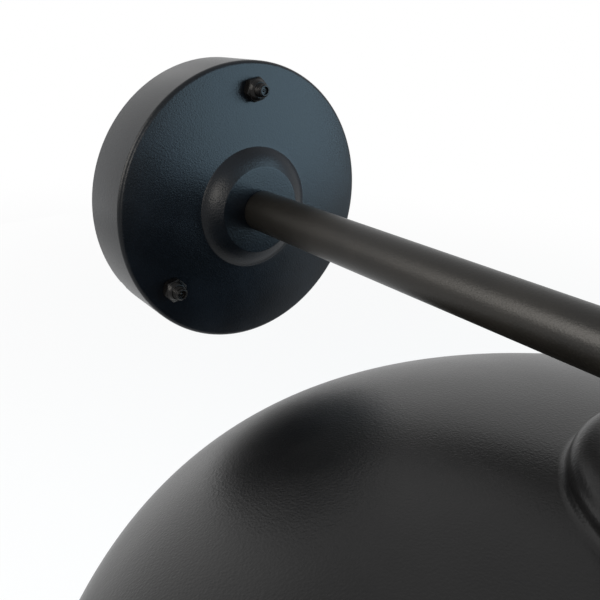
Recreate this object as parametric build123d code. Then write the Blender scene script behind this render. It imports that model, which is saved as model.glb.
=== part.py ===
"""Wall sconce: a round canopy, a straight tube arm and a shallow dome shade hung under a lamp cup.

Millimetres. +Z is up, the wall is the plane y = 0 and the light stands out along -Y.
The origin is the centre of the canopy's back, on the wall.
Pieces on the wall side are drawn lying down, x right, y up and z out of the wall, and stood up last.
"""
import math
import os

from build123d import *

# ---- canopy -------------------------------------------------------------------------------
canopy_radius = 54.0
canopy_depth = 24.5          # wall to the rim of the face
canopy_corner = 2.4          # rounding between side wall and face
canopy_sheet = 1.0
face_rise = 4.1              # the face bulges by this much towards its centre
boss_outer_radius = 23.4     # foot of the raised boss
boss_inner_radius = 16.4     # edge of the boss's flat top
boss_top = 32.5              # wall to the flat top
boss_foot_fillet = 2.0
boss_crest_fillet = 1.2
rim_notch_angle = 218.0      # small gap in the rim's back edge
rim_notch_width = 3.6
rim_notch_depth = 1.2

# ---- wall plate and its studs --------------------------------------------------------------
plate_gap = 2.5              # plate edge to the inside of the canopy
plate_thickness = 2.0
cable_hole_radius = 8.0
slot_spacing = 60.0
slot_length = 12.0
slot_width = 5.0
stud_from_rim = 10.0         # stud centre to the canopy's rim
stud_circle_radius = canopy_radius - stud_from_rim
stud_angles = (92.0, 219.0, 334.0)
stud_radius = 2.5
stud_hole_clearance = 0.25
stud_stickout = 2.8          # beyond the canopy nut
back_nut_height = 3.5
nut_across_flats = 8.0
nut_hex_height = 3.3
nut_collar_height = 1.6
nut_collar_radius = 3.3
nut_shoulder = 0.3           # step from the flats in to the collar
nut_bevel_height = 0.7
nut_turn = 17.0
thread_clearance = 0.05      # radial, screw to nut

# ---- terminal block and earth screw --------------------------------------------------------
block_width = 30.0
block_height = 14.0
block_depth = 12.0
block_corner = 1.0
block_from_rim = 25.0        # block centre to the canopy's lowest point
block_centre_up = block_from_rim - canopy_radius
pole_pitch = 9.0
pole_radius = 2.0
pole_sunk = 1.0              # tube ends inside the block's faces
pole_screw_radius = 1.4
pole_screw_inset = 4.0       # from the block's top and bottom edges
pole_screw_length = 3.4
block_screw_radius = 1.5
block_screw_head = 2.7
block_screw_sunk = 3.0
earth_screw_x = -26.0
earth_screw_up = 19.0
earth_screw_radius = 2.0
earth_head_radius = 3.4
earth_head_height = 2.2
lug_radius = 4.0
lug_thickness = 0.8
lug_barrel = 6.0
lug_overlap = 0.5            # barrel runs back into the lug's eye
lug_stop = 1.0               # closed end of the barrel
lug_straight = 9.0           # straight wire before the barrel
screw_slot = 0.9
screw_slot_depth = 0.8

# ---- wires ---------------------------------------------------------------------------------
wire_radius = 1.1
wire_offset = 1.6            # each wire's place beside the arm's centre line
wire_bend = 5.0
wire_straight = 8.0          # straight run out of the block and into the nipple
wire_past_screw = 1.0

# ---- arm -----------------------------------------------------------------------------------
arm_radius = 7.6
arm_wall = 1.4
nipple_radius = 5.0
nipple_bore = 3.5
nipple_below_boss = 8.0
nipple_in_plug = 11.0
plug_length = 14.0
nipple_nut_flats = 14.0
nipple_nut_height = 3.5
washer_radius = 9.0
washer_thickness = 1.0

# ---- lamp cup at the arm's end --------------------------------------------------------------
reach = 212.5                # wall to the shade's axis
cup_radius = 23.0
cup_wall = 1.5
cup_top = 24.0
lid_thickness = 1.6
lid_crown = 3.5
lid_spigot = 5.0
lid_wall = 1.2
arm_in_cup = 1.0             # arm's end stands this far inside the cup's wall
socket_length = 9.0          # sleeve that takes the arm's end
socket_wall = 2.4
grub_radius = 2.0
grub_length = 3.2
grommet_wall = 0.9
grommet_lip = 1.2
grommet_length = 5.0

# ---- shade ---------------------------------------------------------------------------------
platform_top = -14.3         # flat top, below the arm's centre line
neck_radius = 41.6
neck_top_fillet = 4.0
platform_flat_radius = neck_radius - neck_top_fillet
neck_foot_fillet = 2.2
shade_sheet = 1.0
dome_radius = 145.1
dome_drop = 53.7             # height of the dome's quarter ellipse
dome_centre_z = -72.3
skirt_bottom = -104.0
skirt_flare = 3.3            # how much wider the skirt is at its foot
bead_radius = 1.6

# ---- lampholder ----------------------------------------------------------------------------
holder_radius = 19.6
holder_head_radius = 17.0
holder_flange_radius = 21.2
holder_flange = 2.0
holder_bottom = -52.0
holder_head = -4.0
holder_bore = 15.0
holder_mouth_wall = 3.0      # thickness of the head around the terminals
socket_thread_radius = 13.3
shell_wall = 0.5
shell_thread_length = 24.0
shell_band_radius = 14.0     # plain band at the closed end, round the contact
shell_band_length = 6.0
shell_pin_radius = 0.8
shell_pin_x = -9.0
insert_thickness = 8.0
contact_head_radius = 4.5
contact_head_height = 1.4
contact_stem_radius = 1.8
contact_gap = 3.0            # contact head below the insert
shell_opening = 7.0          # hole in the shell's closed top
contact_bore = 2.15
contact_stem_length = 10.0
terminal_width = 6.0
terminal_depth = 8.0
terminal_above_wire = 2.0
terminal_x = 7.0
terminal_screw_radius = 1.3
ring_outer_radius = 27.0
ring_height = 7.0
ring_flutes = 24
ring_flute_radius = 1.6

block_screw_x = pole_pitch / 2

# ---- clearances ----------------------------------------------------------------------------
part_gap = 0.05              # pieces that touch in one body
moving_gap = 0.3             # pieces of different bodies, round a shaft
seat_gap = 0.1               # flat faces of different bodies

os.makedirs("parts", exist_ok=True)


def save(name, *solids):
    """Write one node; identical pieces go in as a group of separate solids."""
    shape = solids[0] if len(solids) == 1 else Compound(children=list(solids))
    export_step(shape, f"parts/{name}.step")


def from_wall(shape):
    """Turn a piece drawn lying down (z away from the wall) to its place on the wall."""
    return Rot(90, 0, 0) * shape


def rounded(face, corners):
    """Round corners of a flat outline; corners is a list of (radius, height, fillet)."""
    for radius, height, size in corners:
        corner = face.vertices().sort_by_distance((radius, height, 0))[0]
        face = fillet(corner, size)
    return face


def turned(face):
    """Solid of revolution about Z of an outline drawn as (radius, height) in the XY plane."""
    return revolve(Rot(90, 0, 0) * face, Axis.Z)


def disc(radius, thickness, bottom=0.0):
    return Pos(0, 0, bottom) * Cylinder(radius, thickness, align=(Align.CENTER, Align.CENTER, Align.MIN))


def cone(bottom_radius, top_radius, height):
    return Cone(bottom_radius, top_radius, height, align=(Align.CENTER, Align.CENTER, Align.MIN))


def tube(outer, inner, length, bottom=0.0):
    return disc(outer, length, bottom) - disc(inner, length, bottom)


def on_circle(angle, radius=stud_circle_radius):
    return radius * math.cos(math.radians(angle)), radius * math.sin(math.radians(angle))


def hex_nut(across_flats, height, bore):
    """Plain hexagon nut with both faces chamfered."""
    slope = math.tan(math.radians(30))
    corner_drop = (across_flats / 2 / math.cos(math.radians(30)) - across_flats / 2) * slope
    corner = across_flats / 2 + height / 2 / slope - corner_drop
    blank = extrude(RegularPolygon(across_flats / 2, 6, major_radius=False), height)
    bevel = cone(corner, across_flats / 2, height / 2)
    bevels = Pos(0, 0, height / 2) * bevel + Pos(0, 0, height / 2) * Rot(180, 0, 0) * bevel
    return (blank & bevels) - disc(bore, height)


def slot_cut(radius, top):
    """Screwdriver slot across a screw's top."""
    return Pos(0, 0, top) * Box(4 * radius, screw_slot, 2 * screw_slot_depth)


def wire_path(points):
    """Round wire along straight runs joined by bends."""
    path = FilletPolyline(*points, radius=wire_bend)
    return sweep(Plane(path @ 0, z_dir=path % 0) * Circle(wire_radius), path)


# ---- canopy: pressed cup with a bulging face and a raised boss -----------------------------
def face_height(radius):
    """Height of the bulging face above the wall plane, at a distance from its centre."""
    rim = canopy_radius - canopy_corner
    sphere = (rim**2 + face_rise**2) / (2 * face_rise)
    return canopy_depth + face_rise - sphere + math.sqrt(sphere**2 - radius**2)


def canopy_form(inset):
    """Filled form of the canopy, drawn in by the sheet's thickness for its hollow."""
    slope = math.atan((boss_top - face_height(boss_outer_radius)) / (boss_outer_radius - boss_inner_radius))
    shift = inset * math.tan(slope / 2)
    side, foot, crest = canopy_radius - inset, boss_outer_radius - shift, boss_inner_radius - shift
    top = boss_top - inset
    middle = (side + foot) / 2
    edges = Curve() + [
        Polyline((0, top), (0, 0), (side, 0), (side, face_height(side) - inset)),
        ThreePointArc(
            (side, face_height(side) - inset),
            (middle, face_height(middle) - inset),
            (foot, face_height(foot) - inset),
        ),
        Polyline((foot, face_height(foot) - inset), (crest, top), (0, top)),
    ]
    corners = [
        (side, face_height(side) - inset, canopy_corner - inset),
        (foot, face_height(foot) - inset, boss_foot_fillet + inset),
        (crest, top, boss_crest_fillet),
    ]
    return turned(rounded(make_face(edges), corners))


canopy = canopy_form(0.0) - canopy_form(canopy_sheet)
canopy -= disc(nipple_radius + part_gap, boss_top * 2)
for angle in stud_angles:
    hole_x, hole_up = on_circle(angle)
    canopy -= Pos(hole_x, hole_up, 0) * disc(stud_radius + stud_hole_clearance, boss_top)
notch = Box(3 * canopy_sheet, rim_notch_width, 2 * rim_notch_depth)
notch_x, notch_up = on_circle(rim_notch_angle, canopy_radius - canopy_sheet / 2)
canopy -= Pos(notch_x, notch_up, 0) * Rot(0, 0, rim_notch_angle) * notch
save("canopy", from_wall(canopy))

# ---- wall plate ----------------------------------------------------------------------------
plate = disc(canopy_radius - canopy_sheet - plate_gap, plate_thickness)
plate -= disc(cable_hole_radius, plate_thickness)
for side in (-1, 1):
    slot = extrude(SlotOverall(slot_length, slot_width), plate_thickness)
    plate -= Pos(side * slot_spacing / 2, 0, 0) * slot
for angle in stud_angles:
    hole_x, hole_up = on_circle(angle)
    plate -= Pos(hole_x, hole_up, 0) * disc(stud_radius + part_gap, plate_thickness)
plate -= Pos(earth_screw_x, earth_screw_up, 0) * disc(earth_screw_radius + part_gap, plate_thickness)
plate -= Pos(block_screw_x, block_centre_up, 0) * disc(block_screw_radius + part_gap, plate_thickness)
save("wall_plate", from_wall(plate))

# ---- studs, back nuts and the nuts that hold the canopy --------------------------------------
nut_seat = face_height(stud_circle_radius - nut_across_flats / 2 / math.cos(math.radians(30)))
nut_top = nut_seat + nut_hex_height + nut_collar_height
stud_top = nut_top + stud_stickout
stud_tip = 0.8 * stud_radius
stud = disc(stud_radius, stud_top - stud_radius + stud_tip)
stud += Pos(0, 0, stud_top - stud_radius + stud_tip) * cone(stud_radius, stud_tip, stud_radius - stud_tip)
back_nut = hex_nut(nut_across_flats, back_nut_height, stud_radius + thread_clearance)
back_nut = Pos(0, 0, plate_thickness) * back_nut
corner_radius = nut_across_flats / 2 / math.cos(math.radians(30))
collar_foot = nut_across_flats / 2 - nut_shoulder
nut_blank = extrude(RegularPolygon(nut_across_flats / 2, 6, major_radius=False), nut_hex_height)
nut_bevel = Pos(0, 0, nut_hex_height - nut_bevel_height) * cone(corner_radius, collar_foot, nut_bevel_height)
nut_blank &= disc(corner_radius, nut_hex_height - nut_bevel_height) + nut_bevel
collar = cone(collar_foot, nut_collar_radius, nut_collar_height)
canopy_nut = nut_blank + Pos(0, 0, nut_hex_height) * collar
canopy_nut -= disc(stud_radius + thread_clearance, nut_hex_height + nut_collar_height)
canopy_nut = Pos(0, 0, nut_seat) * Rot(0, 0, nut_turn) * canopy_nut


def at_studs(piece):
    return [from_wall(Pos(*on_circle(angle), 0) * piece) for angle in stud_angles]


save("plate_studs", *at_studs(stud))
save("stud_back_nuts", *at_studs(back_nut))
save("canopy_nuts", *at_studs(canopy_nut))

# ---- terminal block with three poles, and the earth screw ------------------------------------
block_bottom = plate_thickness
block_mid = block_bottom + block_depth / 2
pole_places = [-pole_pitch, 0.0, pole_pitch]
block = Pos(0, block_centre_up, block_mid) * Box(block_width, block_height, block_depth)
block = fillet(block.edges().filter_by(Axis.Z), block_corner)
screw_seat = block_bottom + block_depth - block_screw_sunk
block_screw = disc(block_screw_radius, screw_seat) + disc(block_screw_head, block_screw_sunk / 2, screw_seat)
block_screw -= slot_cut(block_screw_head, screw_seat + block_screw_sunk / 2)
well = disc(block_screw_head + part_gap, block_depth, screw_seat)
block -= Pos(block_screw_x, block_centre_up, 0) * (well + disc(block_screw_radius + part_gap, block_depth))
pole_tubes, pole_screws = [], []
for place in pole_places:
    pole = Pos(place, block_centre_up, block_mid) * Rot(90, 0, 0)
    block -= pole * Cylinder(pole_radius + part_gap, block_height)
    barrel = Cylinder(pole_radius, block_height - 2 * pole_sunk)
    barrel = pole * (barrel - Cylinder(wire_radius + part_gap, block_height))
    for side in (-1, 1):
        screw_up = block_centre_up + side * (block_height / 2 - pole_screw_inset)
        bore = Pos(place, screw_up, block_mid) * disc(pole_screw_radius + part_gap, block_depth)
        block -= bore
        barrel -= bore
        pole_screw = disc(pole_screw_radius, pole_screw_length)
        pole_screw -= slot_cut(pole_screw_radius, pole_screw_length)
        pole_screws.append(Pos(place, screw_up, block_mid + wire_radius + part_gap) * pole_screw)
    pole_tubes.append(barrel)
save("terminal_block", from_wall(block))
save("terminal_tubes", *[from_wall(piece) for piece in pole_tubes])
save("terminal_screws", *[from_wall(piece) for piece in pole_screws])
save("block_screw", from_wall(Pos(block_screw_x, block_centre_up, 0) * block_screw))

lug_bottom = plate_thickness
earth_place = Pos(earth_screw_x, earth_screw_up, 0)
lug_out = math.degrees(math.atan2(block_centre_up / 2 - earth_screw_up, -earth_screw_x))
lug = disc(lug_radius, lug_thickness, lug_bottom)
barrel_mid = lug_radius + lug_barrel / 2 - lug_overlap
barrel_axis = lug_bottom + wire_radius + lug_thickness
lug += Pos(barrel_mid, 0, barrel_axis) * Rot(0, 90, 0) * Cylinder(wire_radius + lug_thickness, lug_barrel)
lug_bore = Rot(0, 90, 0) * Cylinder(wire_radius + part_gap, lug_barrel)
lug -= Pos(barrel_mid + lug_stop, 0, barrel_axis) * lug_bore
lug = Rot(0, 0, lug_out) * lug
lug -= disc(earth_screw_radius + part_gap, lug_bottom + lug_barrel)
save("earth_lug", from_wall(earth_place * lug))
head_bottom = lug_bottom + lug_thickness
earth_screw = disc(earth_screw_radius, head_bottom) + disc(earth_head_radius, earth_head_height, head_bottom)
earth_screw -= slot_cut(earth_head_radius, head_bottom + earth_head_height)
save("earth_screw", from_wall(earth_place * earth_screw))

# ---- arm: straight tube with a threaded plug and a hollow nipple at the canopy ---------------
nipple_start = boss_top - nipple_below_boss
arm_end = reach - cup_radius + cup_wall + arm_in_cup
arm_bore = arm_radius - arm_wall
arm = tube(arm_radius, arm_bore, arm_end - boss_top, boss_top)
plug = tube(arm_bore - part_gap, nipple_radius + thread_clearance, plug_length, boss_top)
nipple = tube(nipple_radius, nipple_bore, nipple_below_boss + nipple_in_plug, nipple_start)
washer_bottom = boss_top - canopy_sheet - washer_thickness
washer = tube(washer_radius, nipple_radius + part_gap, washer_thickness, washer_bottom)
nipple_nut = Pos(0, 0, washer_bottom - nipple_nut_height) * hex_nut(
    nipple_nut_flats, nipple_nut_height, nipple_radius + thread_clearance
)
grommet_radius = arm_bore - part_gap
grommet_bore = grommet_radius - grommet_wall
grommet = tube(grommet_radius, grommet_bore, grommet_length, arm_end - grommet_length)
grommet += tube(arm_radius, grommet_bore, grommet_lip, arm_end)
save("arm_tube", from_wall(arm))
save("arm_plug", from_wall(plug))
save("arm_nipple", from_wall(nipple))
save("nipple_washer", from_wall(washer))
save("nipple_nut", from_wall(nipple_nut))
save("arm_grommet", from_wall(grommet))

# ---- wires: two through the arm to the lampholder, one to the earth screw --------------------
pole_entry = block_centre_up + block_height / 2 - pole_screw_inset - wire_past_screw
pole_exit = block_centre_up + block_height / 2 + wire_straight
wire_to_nipple = nipple_start - wire_straight
wire_to_cup = arm_end + grommet_lip + wire_past_screw
wire_at_terminal = reach - terminal_depth / 2 - wire_bend / 2
for name, side in (("live_wire", -1), ("neutral_wire", 1)):
    wire = wire_path(
        [
            (side * pole_pitch, pole_entry, block_mid),
            (side * pole_pitch, pole_exit, block_mid),
            (side * wire_offset, 0, wire_to_nipple),
            (side * wire_offset, 0, wire_to_cup),
            (side * terminal_x, 0, wire_at_terminal),
            (side * terminal_x, 0, reach),
        ]
    )
    save(name, from_wall(wire))
barrel_reach = barrel_mid + lug_stop
run_x, run_up = on_circle(lug_out, barrel_reach + lug_straight)
end_x, end_up = on_circle(lug_out, barrel_reach)
earth_wire = wire_path(
    [
        (0, pole_entry, block_mid),
        (0, pole_exit, block_mid),
        (earth_screw_x + run_x, earth_screw_up + run_up, barrel_axis),
        (earth_screw_x + end_x, earth_screw_up + end_up, barrel_axis),
    ]
)
save("earth_wire", from_wall(earth_wire))

# ---- lamp cup with its arm socket and lid ----------------------------------------------------
cup_bottom = platform_top + seat_gap
cup_bore = cup_radius - cup_wall
lamp_axis = Pos(0, -reach, 0)
arm_hole = from_wall(disc(arm_radius + part_gap, reach))
cup = tube(cup_radius, cup_bore, cup_top - cup_bottom, cup_bottom)
cup += tube(cup_bore, holder_radius + part_gap, cup_wall, cup_bottom)
cup = lamp_axis * cup - arm_hole
save("lamp_cup", cup)
socket_end = reach - cup_radius - socket_length
socket = from_wall(disc(arm_radius + socket_wall, socket_length + cup_radius / 2, socket_end))
grub_place = Pos(0, -(socket_end + socket_length / 2), -(arm_radius + part_gap)) * Rot(180, 0, 0)
grub = disc(grub_radius, grub_length) - slot_cut(grub_radius, grub_length)
socket = socket - arm_hole - lamp_axis * disc(cup_radius, 4 * cup_radius, -2 * cup_radius)
socket -= grub_place * disc(grub_radius + part_gap, 2 * socket_wall)
save("arm_socket", socket)
save("arm_grub_screw", grub_place * grub)


def lid_form(inset):
    """Filled form of the low domed lid, drawn in by its wall for the hollow under it."""
    edge, top = cup_radius - inset, cup_top + lid_thickness - inset
    crown = top + lid_crown
    edges = Curve() + [
        Polyline((0, crown), (0, cup_top), (edge, cup_top), (edge, top)),
        RadiusArc((edge, top), (0, crown), -(edge**2 + lid_crown**2) / (2 * lid_crown)),
    ]
    return turned(make_face(edges))


lid = lid_form(0.0) - lid_form(lid_wall)
spigot_radius = cup_bore - part_gap
lid += tube(spigot_radius, spigot_radius - lid_wall, lid_spigot + lid_thickness, cup_top - lid_spigot)
save("cup_lid", lamp_axis * lid)


# ---- shade: flat-topped neck, shallow dome, short skirt with a rolled edge --------------------
def dome_height(radius, inset=0.0):
    share = radius / (dome_radius - inset)
    return dome_centre_z + (dome_drop - inset) * math.sqrt(1 - share**2)


def shade_form(inset):
    """Filled form of the shade, drawn in by the sheet's thickness for its inside."""
    top, neck = platform_top - inset, neck_radius - inset
    dome = dome_radius - inset
    foot = dome_height(neck, inset)
    start = math.degrees(math.acos(neck / dome))
    edges = Curve() + [
        Polyline((neck, foot), (neck, top), (0, top), (0, skirt_bottom), (dome + skirt_flare, skirt_bottom)),
        Line((dome + skirt_flare, skirt_bottom), (dome, dome_centre_z)),
        EllipticalCenterArc((0, dome_centre_z), dome, dome_drop - inset, start_angle=0, arc_size=start),
    ]
    corners = [
        (neck, top, neck_radius - platform_flat_radius - inset),
        (neck, foot, neck_foot_fillet + inset),
    ]
    return turned(rounded(make_face(edges), corners))


shade = shade_form(0.0) - shade_form(shade_sheet)
shade -= disc(holder_radius + moving_gap, 2 * shade_sheet, platform_top - 1.5 * shade_sheet)
shade += Pos(0, 0, skirt_bottom) * Torus(dome_radius + skirt_flare, bead_radius)
save("shade", lamp_axis * shade)

# ---- lampholder ------------------------------------------------------------------------------
flange_bottom = cup_bottom + cup_wall + part_gap
insert_top = holder_head - holder_mouth_wall - part_gap
insert_bottom = insert_top - insert_thickness
shell_top = insert_bottom - part_gap
body = disc(holder_radius, flange_bottom - holder_bottom, holder_bottom)
body += disc(holder_flange_radius, holder_flange, flange_bottom)
body += disc(holder_head_radius, holder_head - flange_bottom, flange_bottom)
body -= disc(holder_bore + part_gap, insert_top + part_gap - holder_bottom, holder_bottom)
body -= disc(holder_bore - holder_mouth_wall, 4 * holder_mouth_wall, insert_top)
save("holder_body", lamp_axis * body)

insert = disc(holder_bore, insert_thickness, insert_bottom)
insert -= disc(contact_bore, insert_thickness, insert_bottom)
insert -= Pos(shell_pin_x, 0, 0) * disc(shell_pin_radius + part_gap, insert_thickness, insert_bottom)
save("holder_insert", lamp_axis * insert)

band_outer = shell_band_radius + shell_wall
band_bottom = shell_top - shell_band_length
shell = tube(band_outer, shell_band_radius, shell_band_length, band_bottom)
shell += tube(holder_bore, shell_opening, shell_wall, shell_top - shell_wall)
shell += tube(band_outer, socket_thread_radius, shell_wall, band_bottom)
thread_outer = socket_thread_radius + shell_wall
shell += tube(thread_outer, socket_thread_radius, shell_thread_length, band_bottom - shell_thread_length)
save("screw_shell", lamp_axis * shell)
pin = Pos(shell_pin_x, 0, 0) * disc(shell_pin_radius, insert_thickness + part_gap, shell_top)
save("shell_pin", lamp_axis * pin)

contact_top = insert_bottom - contact_gap
contact = disc(contact_head_radius, contact_head_height, contact_top - contact_head_height)
contact = chamfer(contact.edges().sort_by(Axis.Z)[0], contact_head_height / 3)
contact += disc(contact_stem_radius, contact_stem_length, contact_top)
save("centre_contact", lamp_axis * contact)

terminal_bottom = insert_top + part_gap
terminal_screw_seat = wire_radius + part_gap
terminal_top = terminal_screw_seat + terminal_above_wire
terminals, terminal_screws = [], []
for side in (-1, 1):
    place = lamp_axis * Pos(side * terminal_x, 0, 0)
    block_part = Pos(0, 0, (terminal_top + terminal_bottom) / 2) * Box(
        terminal_width, terminal_depth, terminal_top - terminal_bottom
    )
    block_part -= Rot(90, 0, 0) * Cylinder(wire_radius + part_gap, 2 * terminal_depth)
    block_part -= disc(terminal_screw_radius + part_gap, terminal_top)
    terminals.append(place * block_part)
    screw = disc(terminal_screw_radius, terminal_above_wire + screw_slot_depth, terminal_screw_seat)
    screw -= slot_cut(terminal_screw_radius, terminal_top + screw_slot_depth)
    terminal_screws.append(place * screw)
save("holder_terminals", *terminals)
save("holder_terminal_screws", *terminal_screws)

# ---- shade ring: fluted ring that screws up the lampholder and holds the shade to the cup ----
ring_top = platform_top - shade_sheet - seat_gap
ring = tube(ring_outer_radius, holder_radius + moving_gap, ring_height, ring_top - ring_height)
for place in range(ring_flutes):
    flute_x, flute_y = on_circle(place * 360 / ring_flutes, ring_outer_radius + ring_flute_radius / 2)
    ring -= Pos(flute_x, flute_y, 0) * disc(ring_flute_radius, ring_height, ring_top - ring_height)
save("shade_ring", lamp_axis * ring)
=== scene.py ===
"""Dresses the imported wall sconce: canopy, straight arm, lamp cup, lampholder and dome shade.

Sizes in the classes are millimetres, as in the part's source. The wall is the plane y = 0, +Z is up and the
light stands out along -Y. Pieces on the wall side are turned upright and then laid down.
"""
from __future__ import annotations

import logging
import math
from dataclasses import dataclass
from enum import Enum
from typing import Any

import bpy
from mathutils import Matrix, Vector


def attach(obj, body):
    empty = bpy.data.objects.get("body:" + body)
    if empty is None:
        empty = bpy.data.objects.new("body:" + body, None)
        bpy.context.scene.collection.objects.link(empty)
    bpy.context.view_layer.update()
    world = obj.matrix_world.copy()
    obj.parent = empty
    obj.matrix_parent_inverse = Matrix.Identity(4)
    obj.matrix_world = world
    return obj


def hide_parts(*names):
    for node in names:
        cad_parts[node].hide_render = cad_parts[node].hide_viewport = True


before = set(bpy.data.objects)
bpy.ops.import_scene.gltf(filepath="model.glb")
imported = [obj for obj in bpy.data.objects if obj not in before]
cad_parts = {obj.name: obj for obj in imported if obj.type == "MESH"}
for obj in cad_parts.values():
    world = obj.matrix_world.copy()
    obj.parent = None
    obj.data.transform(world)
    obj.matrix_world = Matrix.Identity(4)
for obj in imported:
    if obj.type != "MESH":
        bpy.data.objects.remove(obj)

logging.basicConfig(level=logging.INFO, format="%(message)s")
log = logging.getLogger("sconce")

MM = 0.001
Colour = tuple[float, float, float]
Point = tuple[float, float]
Outline = list[Point]
Corner = tuple[float, float, float]
Number = "float | Value"
Socket = bpy.types.NodeSocket

ARC_PIECE = 0.18
FIT = 0.05
SMOOTH_BELOW = math.radians(32.0)
EASE_ABOVE = math.radians(35.0)
# Metres within which points are merged
SAME_POINT = 1e-7
NEAR_POINT = 2e-6
TURN_POINT = 1e-6
SEAM_POINT = 5e-6


# ---- Shader maths ----
class Value:
    """A number that varies over a surface, with arithmetic that adds Math nodes."""

    def __init__(self, sheet: NodeSheet, socket: Socket) -> None:
        """Wrap a socket of a node sheet."""
        self.sheet = sheet
        self.socket = socket

    def _math(self, operation: str, first: Number, second: Number) -> Value:
        """Add one Math node and return its result."""
        node = self.sheet.node("ShaderNodeMath", {"operation": operation}, {0: first, 1: second})
        return Value(self.sheet, node.outputs[0])

    def __add__(self, other: Number) -> Value:
        """Sum."""
        return self._math("ADD", self, other)

    __radd__ = __add__

    def __sub__(self, other: Number) -> Value:
        """Difference."""
        return self._math("SUBTRACT", self, other)

    def __rsub__(self, other: Number) -> Value:
        """Reflected difference, so that 1 - mask works."""
        return self._math("SUBTRACT", other, self)

    def __mul__(self, other: Number) -> Value:
        """Product."""
        return self._math("MULTIPLY", self, other)

    __rmul__ = __mul__

    def step(self, low: float, high: float) -> Value:
        """Smooth step from 0 at low to 1 at high."""
        node = self.sheet.node(
            "ShaderNodeMapRange",
            {"interpolation_type": "SMOOTHSTEP"},
            {"Value": self, "From Min": low, "From Max": high, "To Min": 0.0, "To Max": 1.0},
        )
        return Value(self.sheet, node.outputs[0])


class NodeSheet:
    """The node tree of one material or of the world."""

    def __init__(self, tree: bpy.types.NodeTree) -> None:
        """Start from an empty tree."""
        tree.nodes.clear()
        self.tree = tree

    def node(self, kind: str, settings: dict[str, Any] | None = None, inputs: dict[Any, Any] | None = None) -> Any:
        """Add a node.

        Args:
            kind: Blender's name for the node's type.
            settings: properties that are set before any socket is filled.
            inputs: socket name or index to a number, colour, Value or output socket.

        Returns:
            The new node.
        """
        made = self.tree.nodes.new(kind)
        for key, setting in (settings or {}).items():
            setattr(made, key, setting)
        for key, given in (inputs or {}).items():
            source = given.socket if isinstance(given, Value) else given
            if isinstance(source, Socket):
                self.tree.links.new(source, made.inputs[key])
            else:
                made.inputs[key].default_value = source
        return made

    def place(self) -> Socket:
        """Object coordinates, which are the row frame's metres because every piece sits at the origin."""
        return self.node("ShaderNodeTexCoord").outputs["Object"]

    def stretched(self, place: Socket, scale: Colour) -> Socket:
        """Coordinates scaled along each axis, for grain with a direction."""
        return self.node("ShaderNodeMapping", None, {"Vector": place, "Scale": scale}).outputs[0]

    def noise(self, place: Socket, size: float, detail: float = 2.0, rough: float = 0.5) -> Value:
        """Noise with features of about size millimetres."""
        inputs = {"Vector": place, "Scale": 1.0 / (size * MM), "Detail": detail, "Roughness": rough}
        return Value(self, self.node("ShaderNodeTexNoise", None, inputs).outputs[0])

    def cells(self, place: Socket, size: float) -> Value:
        """Distance to the nearest of points scattered about size millimetres apart."""
        inputs = {"Vector": place, "Scale": 1.0 / (size * MM)}
        return Value(self, self.node("ShaderNodeTexVoronoi", None, inputs).outputs["Distance"])

    def blend(self, share: Number, one: Any, other: Any) -> Socket:
        """Mix two colours; share 0 gives the first."""
        given = [(*c, 1.0) if isinstance(c, tuple) else c for c in (one, other)]
        made = self.node("ShaderNodeMix", {"data_type": "RGBA"}, {0: share, 6: given[0], 7: given[1]})
        return made.outputs[2]

    def bump(self, height: Value, depth: float) -> Socket:
        """Normal tilted by a height of depth millimetres."""
        return self.node("ShaderNodeBump", None, {"Height": height, "Distance": depth * MM}).outputs[0]

    def surface(self, inputs: dict[str, Any]) -> None:
        """End the sheet in a Principled shader with these sockets filled."""
        shader = self.node("ShaderNodeBsdfPrincipled", None, inputs)
        self.node("ShaderNodeOutputMaterial", None, {"Surface": shader.outputs[0]})


# ---- Finishes ----
def new_sheet(name: str) -> tuple[bpy.types.Material, NodeSheet]:
    """A new material and its empty node sheet."""
    made = bpy.data.materials.new(name)
    made.use_nodes = True
    return made, NodeSheet(made.node_tree)


@dataclass(frozen=True)
class PowderCoat:
    """Matt black powder coat: fine orange-peel grain, faint cloudiness and a few brighter specks."""

    name: str
    colour: Colour
    lighter: Colour
    roughness: float = 0.31
    grain: float = 0.65
    grain_depth: float = 0.07
    shine: float = 0.22
    cloud_size: float = 22.0
    speck_spacing: float = 2.4

    def material(self) -> bpy.types.Material:
        """Build the material."""
        made, sheet = new_sheet(self.name)
        place = sheet.place()
        grain = sheet.noise(place, self.grain, 3.0, 0.6)
        peel = sheet.cells(place, self.grain)
        cloud = sheet.noise(place, self.cloud_size)
        speck = 1.0 - sheet.cells(place, self.speck_spacing).step(0.06, 0.16)
        share = cloud.step(0.35, 0.7) * 0.5 + grain.step(0.5, 0.72) * 0.3 + speck * 0.2
        height = grain * 0.6 + peel * 0.4
        sheet.surface(
            {
                "Base Color": sheet.blend(share, self.colour, self.lighter),
                "Roughness": cloud * 0.08 + grain * 0.1 + (self.roughness - 0.09),
                "Specular IOR Level": self.shine,
                "Normal": sheet.bump(height, self.grain_depth),
            }
        )
        return made


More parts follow.
